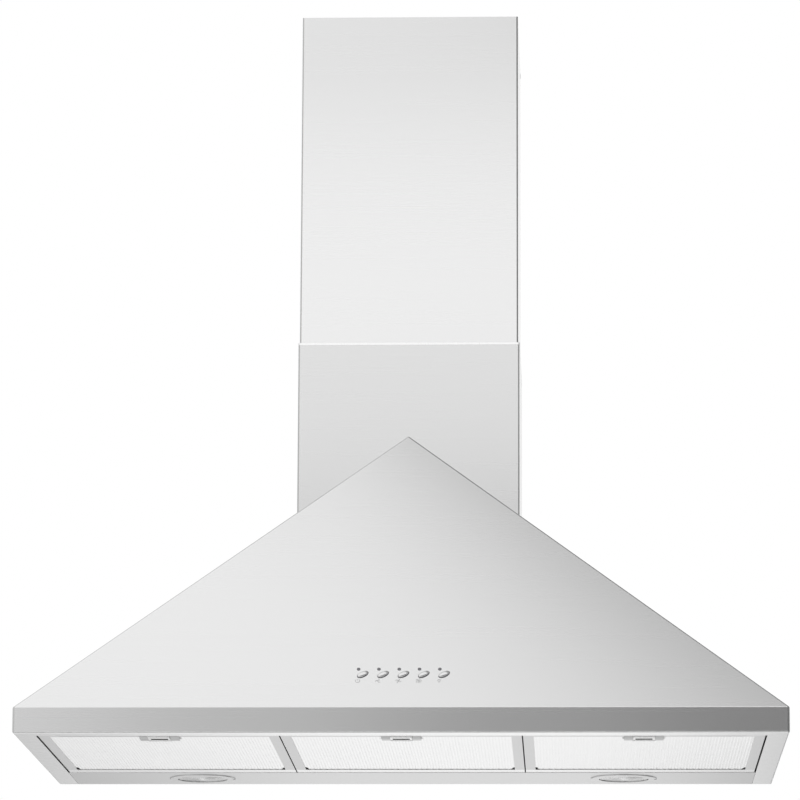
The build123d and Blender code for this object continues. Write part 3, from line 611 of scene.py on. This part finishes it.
class Lattice:
    """Expanded metal: a sheet of diamonds, whose strands lean so that each hole's front edge hangs lower."""

    def __init__(self, low, high, gap_half, gap_rear):
        self.low = low
        self.high = high
        self.centre_x = (low.x + high.x) / 2
        self.gap_half = gap_half
        self.gap_rear = gap_rear
        self.points = []
        self.faces = []
        self.seen = {}

    def covered(self, x, y):
        """Whether the latch takes up this place."""
        return abs(x - self.centre_x) < self.gap_half and y < self.gap_rear

    def held(self, x, y):
        """The nearest place to x, y inside the sheet and outside the latch."""
        x = min(max(x, self.low.x), self.high.x)
        y = min(max(y, self.low.y), self.high.y)
        across = x - self.centre_x
        inward = window_half - abs(across)
        if inward < corner_cut_x:
            y = min(y, self.high.y - corner_cut_y * (1 - max(inward, 0.0) / corner_cut_x))
        if self.covered(x, y):
            if self.gap_half - abs(across) < self.gap_rear - y:
                x = self.centre_x + math.copysign(self.gap_half, across)
            else:
                y = self.gap_rear
        return x, y

    def point(self, x, y, z):
        """The number of the point held nearest to this place, which neighbouring cells share."""
        x, y = self.held(x, y)
        key = (round(x, 6), round(y, 6), round(z, 6))
        if key not in self.seen:
            self.seen[key] = len(self.points)
            self.points.append((x, y, z))
        return self.seen[key]

    def cell(self, x, y, half_x, half_y, hole):
        """One diamond round x, y: four strands that slope to the hole, and the hole's upright edge."""
        if self.covered(x, y):
            return
        tips = [(x + half_x, y), (x, y + half_y), (x - half_x, y), (x, y - half_y)]
        ridge = self.low.z + strand_middle
        outer = [self.point(a, b, ridge) for a, b in tips]
        inner = []
        upper = []
        for a, b in tips:
            lean = ridge + strand_lift * (b - y) / half_y
            inner.append(self.point(x + (a - x) * hole, y + (b - y) * hole, lean))
            upper.append(self.point(x + (a - x) * hole, y + (b - y) * hole, lean + strand_sheet))
        for k in range(4):
            n = (k + 1) % 4
            self.face(outer[n], outer[k], inner[k], inner[n])
            self.face(inner[n], inner[k], upper[k], upper[n])

    def face(self, *corners):
        """A face without the corners that fell together, where enough are left."""
        kept = tuple(dict.fromkeys(corners))
        if len(kept) > 2:
            self.faces.append(kept)


def filter_mesh(side):
    """The lowest sheet of expanded metal, from the frame's front to its rear rail and round the latch."""
    node = f"filter_face_{side}"
    low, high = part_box(node)
    high.y = window_rear - mesh_rear_gap
    latch_low, latch_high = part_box(f"latch_housing_{side}")
    gap_half = (latch_high.x - latch_low.x) / 2 + mesh_gap
    lattice = Lattice(low, high, gap_half, latch_high.y + mesh_gap)
    columns = math.ceil((high.x - low.x) / 2 / diamond_half_width)
    rows = math.ceil((high.y - low.y) / diamond_half_length)
    for row in range(rows + 1):
        y = low.y + row * diamond_half_length
        for column in range(-columns, columns + 1):
            if (row + column) % 2 == 0:
                x = lattice.centre_x + column * diamond_half_width
                lattice.cell(x, y, diamond_half_width, diamond_half_length, diamond_hole)
    item = piece(f"filter_mesh_{side}", lattice.points, lattice.faces, "mesh_aluminium", f"filter_{side}")
    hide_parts(node)


def prism(outline, low, high):
    """Points and faces of a flat outline given thickness from low to high."""
    count = len(outline)
    points = [(x, y, z) for z in (low, high) for x, y in outline]
    faces = [tuple(reversed(range(count))), tuple(range(count, 2 * count))]
    return points, faces + bands(0, count, 2)


def filter_fill(side):
    """The stack of sheets behind the mesh, cut out round the latch."""
    node = f"filter_layers_{side}"
    low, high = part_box(f"filter_face_{side}")
    latch_low, latch_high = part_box(f"latch_housing_{side}")
    middle = (low.x + high.x) / 2
    front = low.y + mesh_gap
    rear = window_rear - 2 * mesh_rear_gap
    outline = [
        (low.x, front),
        (latch_low.x - mesh_gap, front),
        (latch_low.x - mesh_gap, latch_high.y + mesh_gap),
        (latch_high.x + mesh_gap, latch_high.y + mesh_gap),
        (latch_high.x + mesh_gap, front),
        (high.x, front),
        (high.x, rear - corner_cut_y),
        (middle + window_half, rear - corner_cut_y),
        (middle + window_half - corner_cut_x, rear),
        (middle - window_half + corner_cut_x, rear),
        (middle - window_half, rear - corner_cut_y),
        (low.x, rear - corner_cut_y),
    ]
    points, faces = prism(outline, fill_low, fill_high)
    body = f"filter_{side}"
    item = piece(f"filter_fill_{side}", points, faces, "mesh_aluminium", body, material=mesh_fill)
    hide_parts(node)


def latch_bezel(side):
    """The raised rim of the latch housing: two cheeks and a bridge behind the handle."""
    low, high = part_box(f"latch_housing_{side}")
    grip_low, grip_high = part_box(f"latch_slider_{side}")
    left_edge = grip_low.x - bezel_gap
    right_edge = grip_high.x + bezel_gap
    spans = [
        (low.x, left_edge, bezel_front),
        (right_edge, high.x, bezel_front),
        (left_edge, right_edge, grip_high.y + latch_travel + bezel_gap),
    ]
    points = []
    faces = []
    for left, right, front in spans:
        start = len(points)
        section = [(front, low.z), (front + bezel_slope, bezel_bottom)]
        section += [(high.y - bezel_round, bezel_bottom), (high.y, low.z)]
        for x in (left, right):
            points += [(x, y, z) for y, z in section]
        faces.append(tuple(start + k for k in (3, 2, 1, 0)))
        faces.append(tuple(start + k for k in (4, 5, 6, 7)))
        faces += bands(start, 4, 2)
    piece(f"latch_bezel_{side}", points, faces, "latch_metal", f"filter_{side}")


for side in filter_sides:
    filter_mesh(side)
    filter_fill(side)
    latch_bezel(side)


def fluted_lens(side):
    """Round lamp glass, crowned downwards, with ribs that run front to back."""
    node = f"lamp_lens_{side}"
    low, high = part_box(node)
    middle = (low + high) / 2
    radius = (high.x - low.x) / 2
    rings = []
    for ring in range(1, rib_rings + 1):
        share = ring / rib_rings
        drop = glass_drop + glass_crown * (1 - share ** 2)
        rings.append((glass_reach * share, low.z - drop, min(1.0, rib_fade * (1 - share))))
    rings += [(glass_reach, low.z, 0.0), (radius, low.z, 0.0), (radius, high.z, 0.0)]
    points = [(middle.x, middle.y, low.z - glass_drop - glass_crown)]
    for reach, height, fade in rings:
        for k in range(rib_sides):
            angle = 2 * math.pi * k / rib_sides
            across = reach * math.cos(angle)
            wave = 0.5 - 0.5 * math.cos(2 * math.pi * across / rib_pitch)
            ribbed = height + rib_depth * wave * fade
            points.append((middle.x + across, middle.y + reach * math.sin(angle), ribbed))
    faces = round_face(rib_sides, 1, 0) + bands(1, rib_sides, len(rings))
    faces.append(tuple(range(len(points) - rib_sides, len(points))))
    item = piece(f"lamp_glass_{side}", points, faces, "lens_glass", "hood", smooth=True)
    keep_edges_sharp(item)
    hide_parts(node)


for side in ("left", "right"):
    fluted_lens(side)


def on_panel(across, up, out=0.0):
    """The place across and up on the front panel, and out from it, in the row frame."""
    return panel_foot + Vector((across, 0, 0)) + panel_up * up + panel_normal * out


def button_across(number):
    """How far across the panel this button stands, of the five from left to right."""
    return row_centre + (number - 3) * button_pitch


def oval(number, half_length, half_width):
    """The points, across and up, of an oval turned as the buttons are, round this button's middle."""
    line = []
    for k in range(button_sides):
        angle = 2 * math.pi * k / button_sides
        a = half_length * math.cos(angle)
        b = half_width * math.sin(angle)
        x = a * math.cos(button_turn) - b * math.sin(button_turn)
        up = a * math.sin(button_turn) + b * math.cos(button_turn)
        line.append((button_across(number) + x, button_up + up))
    return line


class Marks:
    """Thin flat shapes laid on the front panel."""

    def __init__(self, thickness):
        self.thickness = thickness
        self.points = []
        self.faces = []

    def ribbon(self, inner, outer, closed):
        """A band between two lines of points on the panel, with its edges down to the steel."""
        count = len(inner)
        start = len(self.points)
        for (a, b), (c, d) in zip(inner, outer):
            self.points.append(on_panel(a, b))
            self.points.append(on_panel(a, b, self.thickness))
            self.points.append(on_panel(c, d, self.thickness))
            self.points.append(on_panel(c, d))
        last = count if closed else count - 1
        for k in range(last):
            a = start + 4 * k
            b = start + 4 * ((k + 1) % count)
            for edge in range(3):
                self.faces.append((a + edge, b + edge, b + edge + 1, a + edge + 1))
        if not closed:
            end = start + 4 * (count - 1)
            self.faces.append((start, start + 1, start + 2, start + 3))
            self.faces.append((end + 3, end + 2, end + 1, end))

    def arc(self, x, up, radius, width, first=0.0, last=360.0):
        """Part of a ring, from one angle to another in degrees, clockwise from the top."""
        closed = last - first >= 360
        steps = max(6, int((last - first) / 12))
        inner = []
        outer = []
        for step in range(steps if closed else steps + 1):
            angle = math.radians(first + (last - first) * step / steps)
            for line, reach in ((inner, radius - width / 2), (outer, radius + width / 2)):
                line.append((x + reach * math.sin(angle), up + reach * math.cos(angle)))
        self.ribbon(inner, outer, closed)

    def bar(self, x, up, end_x, end_up, width):
        """A straight line from one place to another."""
        along = Vector((end_x - x, end_up - up)).normalized()
        side = Vector((-along.y, along.x)) * width / 2
        inner = [(x - side.x, up - side.y), (end_x - side.x, end_up - side.y)]
        outer = [(x + side.x, up + side.y), (end_x + side.x, end_up + side.y)]
        self.ribbon(inner, outer, False)

    def fan(self, x, up, radius, blades, width):
        """Curved blades round a middle, each one half a ring."""
        for blade in range(blades):
            angle = 360 * blade / blades
            turn = math.radians(angle)
            middle_x = x + radius / 2 * math.sin(turn)
            middle_up = up + radius / 2 * math.cos(turn)
            self.arc(middle_x, middle_up, radius / 2, width, angle, angle + 180)


def control_marks():
    """Plain signs under the buttons, off, three fan speeds and the lamp, and the rings round the lights."""
    marks = Marks(mark_sheet)
    off, *fans, bulb = [button_across(number) + mark_shift for number in range(1, 6)]
    marks.arc(off, mark_up, off_radius, mark_line, 35, 325)
    marks.bar(off, mark_up + 0.0008, off, mark_up + 0.0032, mark_line)
    for across, (blades, radius) in zip(fans, fan_signs):
        marks.fan(across, mark_up, radius, blades, mark_line)
    marks.arc(bulb, mark_up + 0.0006, bulb_radius, mark_line, 215, 505)
    for below, half in ((0.0012, 0.0008), (0.0022, 0.0006)):
        marks.bar(bulb - half, mark_up - below, bulb + half, mark_up - below, mark_line)
    piece("control_marks", marks.points, marks.faces, "casing_plastic", "hood", material=mark_ink)
    rings = Marks(light_sheet)
    for number in range(1, 6):
        rings.arc(button_across(number) + light_shift, light_up, light_radius, light_line)
    piece("light_rings", rings.points, rings.faces, "casing_plastic", "hood")


def domed_button(number):
    """A chrome button with a crowned face, on its foot and stem."""
    rings = [(stem_bottom, stem_radius, stem_radius), (foot_bottom, stem_radius, stem_radius)]
    rings += [(foot_bottom, half_long + foot_reach, half_short + foot_reach)]
    rings += [(foot_top, half_long + foot_reach, half_short + foot_reach)]
    rings += [(foot_top, half_long, half_short), (wall_top, half_long, half_short)]
    for step in range(1, dome_steps):
        angle = math.radians(90 * step / dome_steps)
        share = math.cos(angle)
        height = wall_top + (crown - wall_top) * math.sin(angle)
        rings.append((height, half_long * share, half_short * share))
    across = button_across(number)
    points = [on_panel(across, button_up, stem_bottom)]
    for height, half_length, half_width in rings:
        points += [on_panel(x, up, height) for x, up in oval(number, half_length, half_width)]
    tip = len(points)
    points.append(on_panel(across, button_up, crown))
    faces = round_face(button_sides, 1, 0) + bands(1, button_sides, len(rings))
    faces += [face[::-1] for face in round_face(button_sides, tip - button_sides, tip)]
    item = piece(f"button_cap_{number}", points, faces, "button_chrome", f"push_{number}", smooth=True)
    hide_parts(f"button_{number}")
    keep_edges_sharp(item)


def button_shade_rings():
    """Painted shade: the thin dark line round each button, where the gap round it lies in shadow."""
    shade_rings = Marks(shade_ring_sheet)
    for number in range(1, 6):
        inner, outer = [oval(number, half_long + gap, half_short + gap) for gap in (shade_ring_inner, shade_ring_outer)]
        shade_rings.ribbon(inner, outer, True)
    piece("button_shade_rings", shade_rings.points, shade_rings.faces, "casing_plastic", "hood")


for number in range(1, 6):
    domed_button(number)
button_shade_rings()
control_marks()


def cover_rim():
    """The flat rim along the front and sides of the lower cover's top."""
    low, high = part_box("chimney_lower")
    outline = [(high.x, high.y - rim_rear_gap, 1.0, 0.0)]
    for step in range(rim_steps + 1):
        angle = math.radians(90 * step / rim_steps)
        x = high.x - rim_corner + rim_corner * math.cos(angle)
        y = low.y + rim_corner - rim_corner * math.sin(angle)
        outline.append((x, y, math.cos(angle), -math.sin(angle)))
    outline += [(-x, y, -out_x, out_y) for x, y, out_x, out_y in reversed(outline)]
    points = []
    for x, y, out_x, out_y in outline:
        outer = (x + out_x * rim_proud, y + out_y * rim_proud)
        inner = (x - out_x * rim_proud, y - out_y * rim_proud)
        points += [(*inner, high.z - rim_height), (*outer, high.z - rim_height)]
        points += [(*outer, high.z), (*inner, high.z)]
    faces = bands(0, 4, len(outline))
    faces.append((3, 2, 1, 0))
    faces.append(tuple(len(points) - 4 + k for k in range(4)))
    piece("cover_rim", points, faces, "brushed_steel", "hood", material=rim_polish)


def cover_screw_heads():
    """Low rounded screw heads with a round recess, one on each side of the upper cover."""
    low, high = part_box("upper_cover_screws")
    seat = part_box("chimney_upper")[1].x
    middle = (low + high) / 2
    radius = (high.y - low.y) / 2
    points = []
    faces = []
    for side in (-1, 1):
        rings = bands(len(points), screw_sides, len(screw_profile))
        faces += rings if side < 0 else [face[::-1] for face in rings]
        for out, share in screw_profile:
            for k in range(screw_sides):
                angle = 2 * math.pi * k / screw_sides
                y = middle.y + radius * share * math.cos(angle)
                z = middle.z + radius * share * math.sin(angle)
                points.append((side * (seat + out), y, z))
    item = piece("cover_screw_heads", points, faces, "screw_steel", "upper_cover")
    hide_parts("upper_cover_screws")


cover_rim()
cover_screw_heads()

# ---------------------------------------------------------------- studio
world = bpy.data.worlds.new("studio")
bpy.context.scene.world = world
world.use_nodes = True
world.node_tree.nodes.clear()
sky = Nodes(world.node_tree)
path = sky.add("ShaderNodeLightPath").outputs
seen = sky.math("MAXIMUM", path["Is Camera Ray"], path["Is Glossy Ray"])
seen_or_through = sky.math("MAXIMUM", seen, path["Is Transmission Ray"])
shown = sky.feed(sky.add("ShaderNodeBackground"), Color=(1, 1, 1, 1), Strength=1.0)
lit = sky.feed(sky.add("ShaderNodeBackground"), Color=(1, 1, 1, 1), Strength=world_light)
chosen = sky.mix_shaders(seen_or_through, lit.outputs[0], shown.outputs[0])
sky.feed(sky.add("ShaderNodeOutputWorld"), Surface=chosen)


def sheet(name, centre, width, height, facing):
    """A flat stage piece with its face turned to look along facing."""
    mesh = bpy.data.meshes.new(name)
    x = width / 2
    y = height / 2
    mesh.from_pydata([(-x, -y, 0), (x, -y, 0), (x, y, 0), (-x, y, 0)], [], [(0, 1, 2, 3)])
    item = bpy.data.objects.new(name, mesh)
    bpy.context.scene.collection.objects.link(item)
    item.rotation_euler = Vector(facing).to_track_quat("Z", "Y").to_euler()
    item.location = centre
    return item


def white_to_reflections(shader):
    """Shows a white background to reflections and in the distance, and lets the eye through from beneath."""
    path = shader.add("ShaderNodeLightPath").outputs
    reflected = shader.math("MAXIMUM", path["Is Glossy Ray"], path["Is Transmission Ray"])
    reach = shader.vector("LENGTH", shader.places["Object"])
    distant = shader.math("MULTIPLY", shader.spread(reach, 0, 1, fade_from, fade_to), path["Is Camera Ray"])
    white_share = shader.math("MAXIMUM", reflected, distant)
    white = shader.add("ShaderNodeEmission").outputs[0]
    above = shader.mix_shaders(white_share, shader.surface.outputs[0], white)
    below = shader.add("ShaderNodeBsdfTransparent").outputs[0]
    from_below = shader.add("ShaderNodeNewGeometry").outputs["Backfacing"]
    both = shader.mix_shaders(from_below, above, below)
    shader.feed(shader.tree.nodes["Material Output"], Surface=both)


floor = sheet("floor", (0, 0, floor_height), floor_size, floor_size, (0, 0, 1))
floor_shader = Shader("floor", floor_colour, 0.8)
floor_shader.tint(floor_shader.noise((2, 2, 2)), 0.01)
white_to_reflections(floor_shader)
floor.data.materials.append(floor_shader.material)


def card(name, centre, width, height, facing, along, stops):
    """A studio card that only reflections show, its grey changing from stop to stop along a direction."""
    item = sheet(name, centre, width, height, facing)
    item.visible_camera = False
    item.visible_diffuse = False
    item.visible_transmission = False
    item.visible_shadow = False
    material = bpy.data.materials.new(name)
    material.use_nodes = True
    material.node_tree.nodes.clear()
    glow = Nodes(material.node_tree)
    place = glow.add("ShaderNodeNewGeometry").outputs["Position"]
    first = stops[0][0]
    last = stops[-1][0]
    share = glow.spread(glow.vector("DOT_PRODUCT", place, along), 0, 1, first, last)
    ramp = glow.add("ShaderNodeValToRGB")
    ramp.color_ramp.interpolation = "EASE"
    points = ramp.color_ramp.elements
    while len(points) < len(stops):
        points.new(0.5)
    for point, (reach, level) in zip(points, stops):
        point.position = (reach - first) / (last - first)
        point.color = (*grey(level), 1)
    glow.give(ramp.inputs[0], share)
    light = glow.feed(glow.add("ShaderNodeEmission"), Color=ramp.outputs[0])
    glow.feed(glow.add("ShaderNodeOutputMaterial"), Surface=light.outputs[0])
    item.data.materials.append(material)


lip_tones = [(-0.6, 0.71), (-0.22, 0.515), (0.15, 0.33), (0.45, 0.215), (0.7, 0.155)]
rear_tones = [(-1.0, 0.4), (-0.15, 1.0), (0.2, 1.0), (0.82, 0.34)]
top_tones = [(-0.95, 1.0), (-0.6, 0.92), (-0.34, 0.34)]
card("low_front_card", (0, -1.1, 0.04), 1.9, 0.68, (0, 1, 0), (1, 0, 0), lip_tones)
card("cover_card", (0, -1.0, 1.05), 3.2, 0.2, (0, 1, 0), (0, 0, 1), [(0.98, 1.0), (1.15, 0.42)])
card("low_card", (0, -0.95, -1.0), 2.6, 1.0, (0, 0, 1), (0, 1, 0), [(-1.5, 0.3), (-0.4, 0.3)])
card("top_card", (0, -1.0, 1.15), 3.2, 2.4, (0, 0, -1), (1, 1.1, 0), top_tones)
card("right_card", (1.6, -0.3, 0.8), 2.6, 3.2, (-1, 0, 0), (0, 1, 0), [(-1.4, 0.5), (0.8, 0.2)])
card("left_card", (-1.6, -0.3, 0.8), 2.6, 3.2, (1, 0, 0), (0, 1, 0), [(-1.4, 0.8), (0.8, 0.5)])
card("rear_card", (0, 2.5, -0.68), 4.4, 1.26, (0, -1, 0), (1, 0, 0), rear_tones)


def lamp(name, place, size, power):
    """A soft round lamp aimed at the hood, which reflections don't show."""
    light = bpy.data.lights.new(name, "AREA")
    light.shape = "DISK"
    light.size = size
    light.energy = power
    holder = bpy.data.objects.new(name, light)
    bpy.context.scene.collection.objects.link(holder)
    holder.location = place
    holder.rotation_euler = (lamp_aim - Vector(place)).to_track_quat("-Z", "Y").to_euler()
    holder.visible_glossy = False


lamp("key", (-2.6, -3.4, 3.2), 2.5, 90)
lamp("fill", (2.8, -3.0, 1.0), 2.5, 40)
lamp("back", (0.5, 3.0, 2.5), 2.0, 40)

# ---------------------------------------------------------------- camera
forward = Vector((
    math.sin(camera_yaw) * math.cos(camera_pitch),
    math.cos(camera_yaw) * math.cos(camera_pitch),
    math.sin(camera_pitch),
))
level = forward.cross(Vector((0, 0, 1))).normalized()
upright = level.cross(forward)
right = math.cos(camera_roll) * level + math.sin(camera_roll) * upright
top = -math.sin(camera_roll) * level + math.cos(camera_roll) * upright
camera_data = bpy.data.cameras.new("camera")
camera_data.lens = camera_lens
camera_data.sensor_width = camera_sensor
camera_data.clip_end = camera_reach
camera = bpy.data.objects.new("camera", camera_data)
bpy.context.scene.collection.objects.link(camera)
turn = Matrix((right, top, -forward)).transposed()
camera.matrix_world = Matrix.Translation(camera_place) @ turn.to_4x4()
bpy.context.scene.camera = camera
bpy.context.scene.view_settings.view_transform = "Standard"


def corners(box):
    return [list(map(float, corner)) for corner in box]
